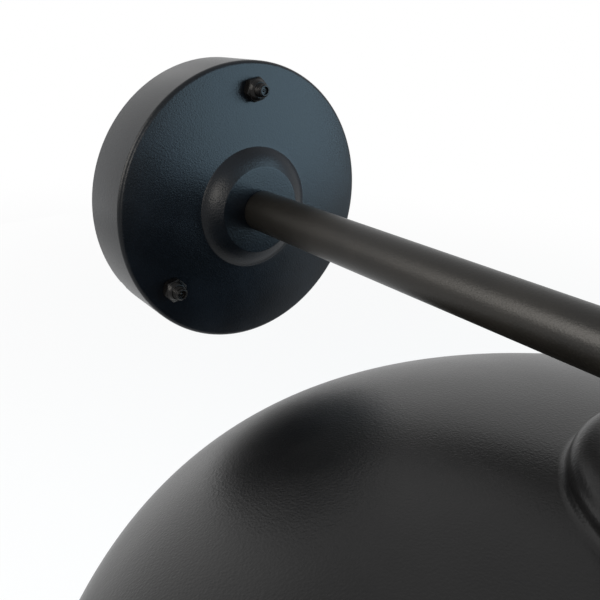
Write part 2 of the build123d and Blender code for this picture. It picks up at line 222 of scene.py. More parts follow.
@dataclass(frozen=True)
class PlatedMetal:
    """Bare or plated metal with fine tool marks along one direction and dull patches."""

    name: str
    colour: Colour
    dull: Colour
    roughness: float = 0.3
    metallic: float = 1.0
    marks: Colour = (1.0, 1.0, 9.0)
    mark_size: float = 1.2
    mark_depth: float = 0.02
    patch_size: float = 9.0
    shine: float = 0.5

    def material(self) -> bpy.types.Material:
        """Build the material."""
        made, sheet = new_sheet(self.name)
        place = sheet.place()
        marks = sheet.noise(sheet.stretched(place, self.marks), self.mark_size, 3.0, 0.6)
        patch = sheet.noise(place, self.patch_size, 3.0, 0.6)
        sheet.surface(
            {
                "Base Color": sheet.blend(patch.step(0.4, 0.75), self.colour, self.dull),
                "Metallic": self.metallic,
                "Specular IOR Level": self.shine,
                "Roughness": marks * 0.16 + patch * 0.14 + (self.roughness - 0.15),
                "Normal": sheet.bump(marks, self.mark_depth),
            }
        )
        return made


@dataclass(frozen=True)
class Moulded:
    """Moulded plastic, rubber or wire sheath: even colour with a fine mould texture."""

    name: str
    colour: Colour
    lighter: Colour
    roughness: float = 0.45
    texture_size: float = 0.6
    texture_depth: float = 0.02
    flow_size: float = 12.0
    flow_stretch: Colour = (1.0, 1.0, 0.35)

    def material(self) -> bpy.types.Material:
        """Build the material."""
        made, sheet = new_sheet(self.name)
        place = sheet.place()
        texture = sheet.cells(place, self.texture_size)
        flow = sheet.noise(sheet.stretched(place, self.flow_stretch), self.flow_size, 3.0)
        sheet.surface(
            {
                "Base Color": sheet.blend(flow.step(0.35, 0.75), self.colour, self.lighter),
                "Roughness": flow * 0.14 + texture * 0.08 + (self.roughness - 0.1),
                "Normal": sheet.bump(texture, self.texture_depth),
            }
        )
        return made


@dataclass(frozen=True)
class Ceramic:
    """Unglazed ceramic with fine pores and faint darker specks."""

    name: str
    colour: Colour
    speck: Colour
    roughness: float = 0.6
    pore_size: float = 0.5
    pore_depth: float = 0.03
    speck_spacing: float = 1.6

    def material(self) -> bpy.types.Material:
        """Build the material."""
        made, sheet = new_sheet(self.name)
        place = sheet.place()
        pores = sheet.noise(place, self.pore_size, 4.0, 0.7)
        specks = 1.0 - sheet.cells(place, self.speck_spacing).step(0.08, 0.2)
        share = specks * 0.6 + pores.step(0.45, 0.8) * 0.3
        sheet.surface(
            {
                "Base Color": sheet.blend(share, self.colour, self.speck),
                "Roughness": pores * 0.2 + (self.roughness - 0.1),
                "Normal": sheet.bump(pores, self.pore_depth),
            }
        )
        return made


class Slot(Enum):
    """The record's material slots, each with its finish."""

    SHADE = ("shade_paint", PowderCoat("shade_powder", (0.0024, 0.0024, 0.0026), (0.0064, 0.0064, 0.0066)))
    # Canopy: the same black powder coat as the shade, tinted blue; the blue is a painted reflection of the bluish
    # front-right lamp.
    CANOPY = (
        "canopy_paint",
        PowderCoat("canopy_powder_blue_reflection", (0.0018, 0.0025, 0.0036), (0.0052, 0.007, 0.0098), shine=0.16),
    )
    # Arm: the same black powder coat as the shade, made warmer and lighter; the warmth and lift are painted warm
    # lamp light.
    ARM = (
        "arm_paint",
        PowderCoat(
            "arm_powder_warm_light", (0.006, 0.0055, 0.0047), (0.013, 0.0118, 0.01), 0.36, grain_depth=0.045, shine=0.28
        ),
    )
    NUT = (
        "black_nut",
        PlatedMetal(
            "blackened_steel", (0.002, 0.002, 0.0022), (0.005, 0.0044, 0.0038), 0.24, 0.05, mark_size=0.6, shine=0.16
        ),
    )
    STEEL = ("plated_steel", PlatedMetal("zinc_plate", (0.56, 0.57, 0.58), (0.4, 0.41, 0.41), 0.36))
    BRASS = ("brass", PlatedMetal("brass_turned", (0.72, 0.53, 0.24), (0.5, 0.36, 0.16), 0.3, mark_size=0.7))
    ALUMINIUM = ("aluminium", PlatedMetal("aluminium_rolled", (0.74, 0.75, 0.76), (0.56, 0.57, 0.58), 0.32))
    BLOCK = ("block_plastic", Moulded("block_plastic", (0.72, 0.72, 0.69), (0.8, 0.8, 0.77)))
    HOLDER = ("holder_plastic", Moulded("holder_plastic", (0.016, 0.016, 0.017), (0.028, 0.028, 0.03), 0.4))
    CERAMIC = ("ceramic", Ceramic("ceramic_body", (0.78, 0.77, 0.72), (0.42, 0.4, 0.36)))
    RUBBER = ("rubber", Moulded("rubber_grommet", (0.02, 0.02, 0.02), (0.035, 0.035, 0.035), 0.7))
    LIVE = ("live_sheath", Moulded("live_sheath", (0.16, 0.06, 0.025), (0.2, 0.08, 0.035), 0.35))
    NEUTRAL = ("neutral_sheath", Moulded("neutral_sheath", (0.03, 0.11, 0.42), (0.05, 0.15, 0.5), 0.35))
    EARTH = ("earth_sheath", Moulded("earth_sheath", (0.12, 0.4, 0.06), (0.5, 0.48, 0.04), 0.35))

    def dress(self, target: bpy.types.Object) -> None:
        """Give an object the slot's finish, built once and shared."""
        finish = self.value[1]
        made = bpy.data.materials.get(finish.name) or finish.material()
        target.data.materials.clear()
        target.data.materials.append(made)


# ---- Outlines ----
def rounded(corners: list[Corner], closed: bool = False) -> Outline:
    """Round the corners of an outline with arcs of 3 to 12 pieces.

    Args:
        corners: (radius, height, rounding) of each corner, in millimetres.
        closed: whether the last corner joins the first.

    Returns:
        The outline's points.
    """
    made: Outline = []
    for index, (x, y, size) in enumerate(corners):
        at_end = not closed and index in (0, len(corners) - 1)
        if size <= 0 or at_end:
            made.append((x, y))
            continue
        here = Vector((x, y))
        before = (Vector(corners[index - 1][:2]) - here).normalized()
        after = (Vector(corners[(index + 1) % len(corners)][:2]) - here).normalized()
        half = before.angle(after) / 2
        reach = size / math.tan(half)
        centre = here + (before + after).normalized() * (size / math.sin(half))
        start, end = here + before * reach - centre, here + after * reach - centre
        turn = math.atan2(start.x * end.y - start.y * end.x, start.dot(end))
        pieces = max(3, min(12, round(abs(turn) * size / ARC_PIECE)))
        for step in range(pieces + 1):
            angle = turn * step / pieces
            along, across = math.cos(angle), math.sin(angle)
            x, y = start.x * along - start.y * across, start.x * across + start.y * along
            made.append((centre.x + x, centre.y + y))
    return made


def inside(outline: Outline, wall: float) -> Outline:
    """The outline's other side, a wall's thickness to its right, in the opposite order."""
    made: Outline = []
    for index, point in enumerate(outline):
        ahead = Vector(outline[min(index + 1, len(outline) - 1)])
        behind = Vector(outline[max(index - 1, 0)])
        along = (ahead - behind).normalized()
        made.append((point[0] + along.y * wall, point[1] - along.x * wall))
    return made[::-1]


def arc(centre: Point, radii: Point, start: float, end: float, pieces: int) -> Outline:
    """Points of an ellipse's arc, angles in degrees."""
    angles = [math.radians(start + (end - start) * step / pieces) for step in range(pieces + 1)]
    return [(centre[0] + radii[0] * math.cos(a), centre[1] + radii[1] * math.sin(a)) for a in angles]


# ---- The bench: Blender's own tools, as used by hand ----
def deselect() -> None:
    """Leave nothing selected, in object mode."""
    if bpy.context.mode != "OBJECT":
        bpy.ops.object.mode_set(mode="OBJECT")
    bpy.ops.object.select_all(action="DESELECT")


def pick(target: bpy.types.Object) -> None:
    """Select one object alone and make it active."""
    deselect()
    target.select_set(True)
    bpy.context.view_layer.objects.active = target


def edit(target: bpy.types.Object) -> None:
    """Open one object in edit mode, with all of its mesh selected."""
    pick(target)
    bpy.ops.object.mode_set(mode="EDIT")
    bpy.ops.mesh.select_all(action="SELECT")


class Piece:
    """A mesh on the bench. Its sizes are millimetres, and its axis is Z until it is laid or hung."""

    def __init__(self, made: bpy.types.Object) -> None:
        """Wrap an object that is being modelled."""
        self.made = made

    @classmethod
    def traced(cls, name: str, route: Outline) -> Piece:
        """Extrude a point along a route of (radius, height) points, and stay in edit mode with all selected."""
        deselect()
        bpy.ops.mesh.primitive_plane_add(size=MM, location=(route[0][0] * MM, 0.0, route[0][1] * MM))
        made = bpy.context.active_object
        made.name = name
        bpy.ops.object.mode_set(mode="EDIT")
        bpy.ops.mesh.merge(type="CENTER")
        for here, there in zip(route, route[1:]):
            shift = ((there[0] - here[0]) * MM, 0.0, (there[1] - here[1]) * MM)
            bpy.ops.mesh.extrude_region_move(TRANSFORM_OT_translate={"value": shift})
        bpy.ops.mesh.select_all(action="SELECT")
        bpy.ops.mesh.remove_doubles(threshold=SAME_POINT)
        return cls(made)

    @classmethod
    def turned(cls, name: str, outline: Outline, steps: int = 96) -> Piece:
        """Spin an outline round Z.

        Args:
            name: the piece's name.
            outline: (radius, height) points, closed unless both ends are on the axis.
            steps: pieces in a full turn.

        Returns:
            The turned piece, merged and facing outwards.
        """
        on_axis = max(outline[0][0], outline[-1][0]) < SAME_POINT
        piece = cls.traced(name, outline if on_axis else [*outline, outline[0]])
        bpy.ops.mesh.spin(steps=steps, angle=math.tau, center=(0, 0, 0), axis=(0, 0, 1))
        return piece.tidied()

    @classmethod
    def drum(cls, name: str, radius: float, low: float, high: float, sides: int = 48, at: Point = (0, 0)) -> Piece:
        """A plain drum, as a start or a cutting tool."""
        deselect()
        place, depth = (at[0] * MM, at[1] * MM, (low + high) / 2 * MM), (high - low) * MM
        bpy.ops.mesh.primitive_cylinder_add(vertices=sides, radius=radius * MM, depth=depth, location=place)
        made = bpy.context.active_object
        made.name = name
        return cls(made).settled()

    @classmethod
    def block(cls, name: str, size: Corner, at: Corner) -> Piece:
        """A plain block, as a cutting tool."""
        deselect()
        bpy.ops.mesh.primitive_cube_add(size=1.0, location=[v * MM for v in at], scale=[v * MM for v in size])
        made = bpy.context.active_object
        made.name = name
        return cls(made).settled()

    @classmethod
    def thread(cls, name: str, root: float, crest: float, pitch: float, low: float, high: float) -> Piece:
        """A helical ridge between two heights, sunk a little into the core it stands on.

        Args:
            name: the piece's name.
            root: radius of the core.
            crest: radius of the thread's crest.
            pitch: height of one turn.
            low: where the thread starts.
            high: where it ends.

        Returns:
            The closed ridge.
        """
        turns = (high - low - pitch) / pitch
        crest_low, crest_high = low + pitch * 0.4, low + pitch * 0.6
        sunk = root - (crest - root) * 0.3
        ridge = [(sunk, low), (crest, crest_low), (crest, crest_high), (sunk, low + pitch), (sunk, low)]
        piece = cls.traced(name, ridge).swept(turns, pitch, max(8, round(36 * turns)))
        edit(piece.made)
        bpy.ops.mesh.fill_holes(sides=0)
        return piece.tidied()

    def settled(self) -> Piece:
        """Leave edit mode and put the object at the origin, with its place in its mesh."""
        pick(self.made)
        bpy.ops.object.transform_apply(location=True, rotation=True, scale=True)
        return self

    def swept(self, turns: float, pitch: float, steps: int, more: dict[str, Any] | None = None) -> Piece:
        """Sweep a traced outline up a helix round Z, with more settings where they are needed."""
        helix = {"axis": "Z", "angle": math.tau * turns, "screw_offset": pitch * turns * MM}
        return self.settled().modify("SCREW", {**helix, "steps": steps, "render_steps": steps, **(more or {})})

    def tidied(self) -> Piece:
        """Merge doubles, turn the faces outwards, and put the object at the origin."""
        edit(self.made)
        bpy.ops.mesh.remove_doubles(threshold=NEAR_POINT)
        bpy.ops.mesh.normals_make_consistent(inside=False)
        return self.settled()

    def modify(self, kind: str, settings: dict[str, Any]) -> Piece:
        """Add a modifier, set it and apply it."""
        pick(self.made)
        modifier = self.made.modifiers.new(kind.title(), kind)
        for key, setting in settings.items():
            setattr(modifier, key, setting)
        bpy.ops.object.modifier_apply(modifier=modifier.name)
        return self

    def cut(self, *tools: Piece, keep_inside: bool = False) -> Piece:
        """Cut tools away from the piece, or keep only what is inside them, and remove them."""
        for tool in tools:
            operation = "INTERSECT" if keep_inside else "DIFFERENCE"
            self.modify("BOOLEAN", {"object": tool.made, "operation": operation, "solver": "EXACT"})
            bpy.data.objects.remove(tool.made)
        return self

    def cut_at_once(self, tools: list[Piece]) -> Piece:
        """Cut many tools away, joined into one."""
        return self.cut(tools[0].joined(*tools[1:]))

    def joined(self, *others: Piece) -> Piece:
        """Join other pieces into this one."""
        deselect()
        for other in others:
            other.made.select_set(True)
        self.made.select_set(True)
        bpy.context.view_layer.objects.active = self.made
        bpy.ops.object.join()
        return self

    def eased(self, width: float) -> Piece:
        """Round the sharp edges."""
        settings = {"width": width * MM, "segments": 2, "limit_method": "ANGLE", "angle_limit": EASE_ABOVE}
        return self.modify("BEVEL", settings)

    def moved(self, shift: Corner = (0, 0, 0), turn: Corner = (0, 0, 0)) -> Piece:
        """Turn the piece, in degrees, then move it, in millimetres, and apply both to its mesh."""
        self.made.rotation_euler = [math.radians(v) for v in turn]
        self.made.location = [v * MM for v in shift]
        return self.settled()

    def laid(self) -> Piece:
        """Lay the piece down, so that its height runs out of the wall."""
        return self.moved(turn=(90, 0, 0))

    def copied(self) -> Piece:
        """A copy with a mesh of its own."""
        pick(self.made)
        bpy.ops.object.duplicate(linked=False)
        return Piece(bpy.context.active_object)

    def pulled_apart(self, half: float) -> Piece:
        """Pull the two halves of a drum apart along X, each by half, which makes a slot's form."""
        for way in (-1, 1):
            edit(self.made)
            bpy.ops.mesh.select_all(action="DESELECT")
            bpy.ops.object.mode_set(mode="OBJECT")
            for vertex in self.made.data.vertices:
                vertex.select = (vertex.co.x > -SAME_POINT) == (way > 0)
            bpy.ops.object.mode_set(mode="EDIT")
            bpy.ops.transform.translate(value=(way * half * MM, 0, 0))
        bpy.ops.object.mode_set(mode="OBJECT")
        return self

    def ready(self, slot: Slot, node: str, body: str = "fixture") -> None:
        """Dress the finished piece, ride it on its body and hide the CAD node it stands for."""
        pick(self.made)
        bpy.ops.object.shade_smooth_by_angle(angle=SMOOTH_BELOW)
        slot.dress(self.made)
        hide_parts(node)
        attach(self.made, body)
        log.info("%s: %d faces on %s", self.made.name, len(self.made.data.polygons), body)


# ---- Sub-assemblies ----
@dataclass
class Canopy:
    """Pressed canopy with its bulging face and raised boss, the wall plate, the studs and their nuts."""

    radius: float = 54.0
    depth: float = 24.5
    corner: float = 1.8
    sheet: float = 1.0
    face_rise: float = 4.1
    face_rings: int = 12
    face_ring_step: float = 2.0
    face_margin: float = 6.0
    boss_outer: float = 23.4
    boss_inner: float = 16.4
    boss_top: float = 32.5
    swell_width: float = 2.4
    swell_height: float = 2.35
    swell_rounding: float = 17.0
    hole: float = 5.05
    steps: int = 160
    stud_radius: float = 2.5
    stud_play: float = 0.25
    stud_start: float = 2.2
    stud_tip: float = 0.5
    stud_circle: float = 44.0
    stud_angles: tuple[float, ...] = (92.0, 219.0, 334.0)
    stud_stickout: float = 2.8
    thread_depth: float = 0.3
    socket_radius: float = 1.4
    socket_depth: float = 1.1
    nut_flats: float = 8.0
    nut_height: float = 3.3
    collar_height: float = 1.6
    collar_radius: float = 3.3
    nut_turn: float = -13.0
    thread_pitch: float = 0.8
    notch_angle: float = 218.0
    notch_width: float = 3.6
    notch_depth: float = 1.2
    notch_reach: float = 6.0
    plate_radius: float = 50.5
    plate_thickness: float = 2.0
    cable_hole: float = 8.0
    slot_spacing: float = 60.0
    slot_length: float = 12.0
    slot_width: float = 5.0
    block_screw_hole: float = 2.05
    block_screw_place: Point = (-26.0, 19.0)
    earth_screw_hole: float = 1.55
    earth_screw_place: Point = (4.5, -29.0)

    @property
    def nut_corner(self) -> float:
        """Radius of a nut's corners."""
        return self.nut_flats / 2 / math.cos(math.radians(30))

    @property
    def seat(self) -> float:
        """Height of the face at a nut's inner corner, where the nut sits."""
        return self.face_height(self.stud_circle - self.nut_corner)

    def face_height(self, radius: float) -> float:
        """Height of the bulging face at a distance from its centre."""
        rim = self.radius - self.corner
        sphere = (rim**2 + self.face_rise**2) / (2 * self.face_rise)
        return self.depth + self.face_rise - sphere + math.sqrt(sphere**2 - radius**2)

    def at_stud(self, angle: float) -> Point:
        """A stud's place on its circle."""
        return self.stud_circle * math.cos(math.radians(angle)), self.stud_circle * math.sin(math.radians(angle))

    def cover(self) -> None:
        """The pressed canopy, with a small notch in the rim's back edge and a hole for each stud."""
        foot = self.face_height(self.boss_outer)
        corners = [(self.radius, 0.0, 0.0), (self.radius, self.face_height(self.radius), self.corner)]
        rings = [self.radius - self.face_margin - self.face_ring_step * step for step in range(self.face_rings)]
        corners += [(ring, self.face_height(ring), 0.0) for ring in rings]
        corners += [
            (self.boss_outer, foot, 0.6),
            (self.boss_outer - self.swell_width, foot + self.swell_height, self.swell_rounding),
            (self.boss_inner, self.boss_top, 1.1),
            (self.hole, self.boss_top, 0.0),
        ]
        outer = rounded(corners)
        piece = Piece.turned("canopy_cover", outer + inside(outer, -self.sheet), self.steps)
        bore, past = self.stud_radius + self.stud_play, self.boss_top + 7.5
        tools = [Piece.drum("tool", bore, 0, past, 24, self.at_stud(angle)) for angle in self.stud_angles]
        notch = Piece.block("tool", (self.notch_reach, self.notch_width, 2 * self.notch_depth), (0, 0, 0))
        turn = math.radians(self.notch_angle)
        notch.moved((self.radius * math.cos(turn), self.radius * math.sin(turn), 0), (0, 0, self.notch_angle))
        piece.cut_at_once([*tools, notch])
        piece.laid().ready(Slot.CANOPY, "canopy")

    def plate(self) -> None:
        """The wall plate with its two slots, cable hole and screw holes."""
        piece = Piece.drum("wall_plate_disc", self.plate_radius, 0, self.plate_thickness, 128)
        holes = [
            (self.cable_hole, (0.0, 0.0), 48),
            (self.block_screw_hole, self.block_screw_place, 24),
            (self.earth_screw_hole, self.earth_screw_place, 24),
        ]
        holes += [(self.stud_radius + FIT, self.at_stud(angle), 24) for angle in self.stud_angles]
        below, above = -self.plate_thickness, 3 * self.plate_thickness
        tools = [Piece.drum("tool", radius, below, above, sides, at) for radius, at, sides in holes]
        for side in (-1, 1):
            slot = Piece.drum("tool", self.slot_width / 2, below, above, 32)
            slot.pulled_apart((self.slot_length - self.slot_width) / 2)
            tools.append(slot.moved((side * self.slot_spacing / 2, 0, 0)))
        piece.cut_at_once(tools).eased(0.25)
        piece.laid().ready(Slot.STEEL, "wall_plate")

    def nut(self) -> Piece:
        """One canopy nut: a bevelled hexagon with a tapered collar on top."""
        flat, corner, height = self.nut_flats / 2, self.nut_corner, self.nut_height
        bore, top = self.stud_radius + FIT, height + self.collar_height
        form = [(0, 0), (flat, 0), (corner, 0.5), (corner, height - 0.7), (flat - 0.3, height), (0, height)]
        piece = Piece.drum("canopy_nut", corner, 0, height, 6).moved(turn=(0, 0, self.nut_turn))
        piece.cut(Piece.turned("tool", form, 48), keep_inside=True)
        piece.cut(Piece.drum("tool", bore, -1, height + 1, 32)).eased(0.12)
        collar = [
            (bore, height - 0.3, 0.0),
            (flat - 0.2, height - 0.3, 0.0),
            (flat - 0.25, height + 0.15, 0.2),
            (self.collar_radius, top - 0.7, 0.9),
            (bore + 0.25, top, 0.25),
            (bore, top - 0.1, 0.0),
        ]
        return piece.joined(Piece.turned("collar", rounded(collar, closed=True), 48))

    def stud(self) -> Piece:
        """One threaded stud with a coned tip and a small socket in its end."""
        top = self.seat + self.nut_height + self.collar_height + self.stud_stickout
        core, neck, floor = self.stud_radius - self.thread_depth, top - self.stud_tip, top - self.socket_depth
        corners = [
            (0, 0, 0),
            (core, 0, 0.3),
            (core, neck, 0.3),
            (core - 0.4, top, 0.25),
            (self.socket_radius, top, 0.1),
            (self.socket_radius - 0.2, floor, 0.1),
            (0.5, floor, 0.1),
            (0, floor + 0.4, 0),
        ]
        ridge = Piece.thread("ridge", core, self.stud_radius, self.thread_pitch, self.stud_start, neck)
        return Piece.turned("plate_stud", rounded(corners), 32).joined(ridge)

    def fixings(self) -> None:
        """A stud and a nut at each place."""
        nut, stud = self.nut(), self.stud()
        for index, angle in enumerate(self.stud_angles, 1):
            x, y = self.at_stud(angle)
            last = index == len(self.stud_angles)
            for start, height, label in ((nut, self.seat, "canopy_nut"), (stud, 0.0, "plate_stud")):
                piece = start if last else start.copied()
                piece.made.name = f"{label}_{index}"
                piece.moved((x, y, height)).laid().ready(Slot.NUT, f"{label}s")

    def build(self) -> None:
        """Build the sub-assembly."""
        self.cover()
        self.plate()
        self.fixings()


@dataclass
class ArmEnd:
    """What the sub-assemblies at the arm's end share: the upright axis of cup, holder and shade."""

    reach: float = 212.5
    cup_radius: float = 23.0

    def hang(self, piece: Piece, slot: Slot, node: str, body: str = "fixture") -> None:
        """Move a piece that is made round Z to the shade's axis, and make it ready."""
        piece.moved((0, -self.reach, 0)).ready(slot, node, body)


@dataclass
class Arm(ArmEnd):
    """The straight tube, and the sleeve with its grub screw that holds the tube's end to the cup."""

    radius: float = 7.6
    wall: float = 1.4
    start: float = 32.5
    end: float = 192.0
    sleeve_wall: float = 2.4
    sleeve_start: float = 180.5
    grub_radius: float = 2.0
    grub_length: float = 3.2
    grub_slot: Point = (0.7, 1.4)

    def tube(self) -> None:
        """The arm's tube, with eased ends."""
        bore = self.radius - self.wall
        runs = [(self.radius, self.start + (self.end - self.start) * step / 8, 0.0) for step in range(1, 8)]
        corners = [(bore, self.start, 0.2), (self.radius, self.start, 0.25), *runs]
        corners += [(self.radius, self.end, 0.4), (bore, self.end, 0.3)]
        Piece.turned("arm_pipe", rounded(corners, closed=True)).laid().ready(Slot.ARM, "arm_tube")

    def sleeve(self) -> None:
        """The sleeve on the cup, cut to the cup's round side, and its grub screw."""
        near, end = self.sleeve_start, self.reach - self.cup_radius
        outer, bore, past = self.radius + self.sleeve_wall, self.radius + FIT, end + 4.0
        corners = [(bore, near, 0.35), (outer, near, 0.9), (outer, past, 0.0), (bore, past, 0.0)]
        piece = Piece.turned("cup_sleeve", rounded(corners, closed=True)).laid()
        middle = -(near + end) / 2
        hole = Piece.drum("tool", self.grub_radius + FIT, -14, -self.radius + 1, 32, (0, middle))
        cup = Piece.drum("tool", self.cup_radius - 0.02, -40, 40, 128, (0, -self.reach))
        piece.cut(cup, hole).ready(Slot.ARM, "arm_socket")
        side, long = self.grub_radius, self.grub_length
        corners = [(0, 0, 0), (side - 0.3, 0, 0), (side, 0.4, 0.1), (side, long, 0.3), (0, long, 0)]
        screw = Piece.turned("sleeve_grub_screw", rounded(corners), 32)
        screw.cut(Piece.block("tool", (6, *self.grub_slot), (0, 0, long)))
        screw.moved((0, middle, -bore), (180, 0, 0)).ready(Slot.NUT, "arm_grub_screw")

    def build(self) -> None:
        """Build the sub-assembly."""
        self.tube()
        self.sleeve()


@dataclass
class LampCup(ArmEnd):
    """The cup on the shade's top, with its domed lid."""

    wall: float = 1.5
    bottom: float = -14.2
    top: float = 24.0
    lip_bore: float = 19.65
    lid_thickness: float = 1.6
    lid_crown: float = 3.5
    lid_wall: float = 1.2
    lid_rings: int = 14
    spigot: float = 5.0
    arm_hole: float = 7.65

    def cup(self) -> None:
        """The turned cup with the arm's hole in its side."""
        outer, bore, lip = self.cup_radius, self.cup_radius - self.wall, self.lip_bore
        low, seat, top = self.bottom, self.bottom + self.wall, self.top
        corners = [(lip, low, 0.3), (outer, low, 0.9), (outer, top, 0.35), (bore, top, 0.2)]
        corners += [(bore, seat, 0.5), (lip, seat, 0.3)]
        piece = Piece.turned("lamp_cup_shell", rounded(corners, closed=True), 128)
        piece.cut(Piece.drum("tool", self.arm_hole, 0, 60, 64).moved(turn=(-90, 0, 0)))
        self.hang(piece, Slot.ARM, "lamp_cup")

    def lid(self) -> None:
        """The low domed lid."""
        edge, top = self.cup_radius, self.top + self.lid_thickness
        ball = (edge**2 + self.lid_crown**2) / (2 * self.lid_crown)
        centre = top + self.lid_crown - ball
        inner, low, seat = edge - self.wall - FIT, self.top - self.spigot, self.top + FIT
        rings = [edge * step / self.lid_rings for step in range(self.lid_rings - 1)]
        dome = [(ring, centre + math.sqrt(ball**2 - ring**2), 0.0) for ring in rings]
        under = [(x, y - self.lid_wall, 0.0) for x, y, _ in dome if x < inner - 2]
        corners = [*dome, (edge, top, 0.7), (edge, seat, 0.35), (inner, seat, 0.0)]
        corners += [(inner, low, 0.3), (inner - self.lid_wall, low, 0.3), *under[::-1]]
        self.hang(Piece.turned("lamp_cup_lid", rounded(corners), 128), Slot.ARM, "cup_lid")

    def build(self) -> None:
        """Build the sub-assembly."""
        self.cup()
        self.lid()


@dataclass
class Shade(ArmEnd):
    """The spun dome shade with its raised platform, skirt and rolled edge, and the fluted ring under it."""

    hole: float = 19.9
    platform_top: float = -14.3
    shoulder: float = 4.0
    neck: float = 41.6
    foot_rounding: float = 2.2
    foot_width: float = 6.0
    sheet: float = 1.0
    dome_radius: float = 145.1
    dome_drop: float = 53.7
    dome_centre: float = -72.3
    skirt_bottom: float = -104.0
    skirt_flare: float = 3.3
    skirt_runs: int = 6
    bead: float = 1.6
    ring_bore: float = 19.9
    ring_outer: float = 27.0
    ring_height: float = 7.0
    ring_gap: float = 0.1
    flutes: int = 24
    flute_radius: float = 1.6

    def dome_height(self, radius: float) -> float:
        """Height of the dome's outside at a distance from the axis."""
        return self.dome_centre + self.dome_drop * math.sqrt(1 - (radius / self.dome_radius) ** 2)

    def dome(self) -> None:
        """The spun shade."""
        start = math.degrees(math.acos((self.neck + self.foot_width) / self.dome_radius))
        curve = arc((0, self.dome_centre), (self.dome_radius, self.dome_drop), start, 0.0, 56)
        corners = [
            (self.hole, self.platform_top, 0.0),
            (self.neck, self.platform_top, self.shoulder),
            (self.neck, self.dome_height(self.neck), self.foot_rounding),
            *[(x, y, 0.0) for x, y in curve],
        ]
        foot = (self.dome_radius + self.skirt_flare, self.skirt_bottom)
        roll = arc(foot, (self.bead, self.bead), 75.0, -230.0, 20)
        (x, y), (end_x, end_y) = (self.dome_radius, self.dome_centre), roll[0]
        shares = [run / self.skirt_runs for run in range(1, self.skirt_runs)]
        skirt = [(x + (end_x - x) * share, y + (end_y - y) * share) for share in shares]
        outer = rounded(corners) + skirt
        piece = Piece.turned("dome_shade", outer + roll + inside(outer, self.sheet), 224)
        self.hang(piece, Slot.SHADE, "shade", "shade")

    def ring(self) -> None:
        """The fluted ring that screws up under the shade."""
        top = self.platform_top - self.sheet - self.ring_gap
        low = top - self.ring_height
        bore, outer = self.ring_bore, self.ring_outer
        corners = [(bore, low, 0.5), (outer, low, 0.9), (outer, top, 0.7), (bore, top, 0.3)]
        piece = Piece.turned("shade_ring_nut", rounded(corners, closed=True), 144)
        place = outer + self.flute_radius / 2
        turns = [math.tau * index / self.flutes for index in range(self.flutes)]
        spots = [(place * math.cos(turn), place * math.sin(turn)) for turn in turns]
        piece.cut_at_once([Piece.drum("tool", self.flute_radius, low - 2, top + 2, 20, spot) for spot in spots])
        self.hang(piece, Slot.HOLDER, "shade_ring", "shade_ring")

    def build(self) -> None:
        """Build the sub-assembly."""
        self.dome()
        self.ring()


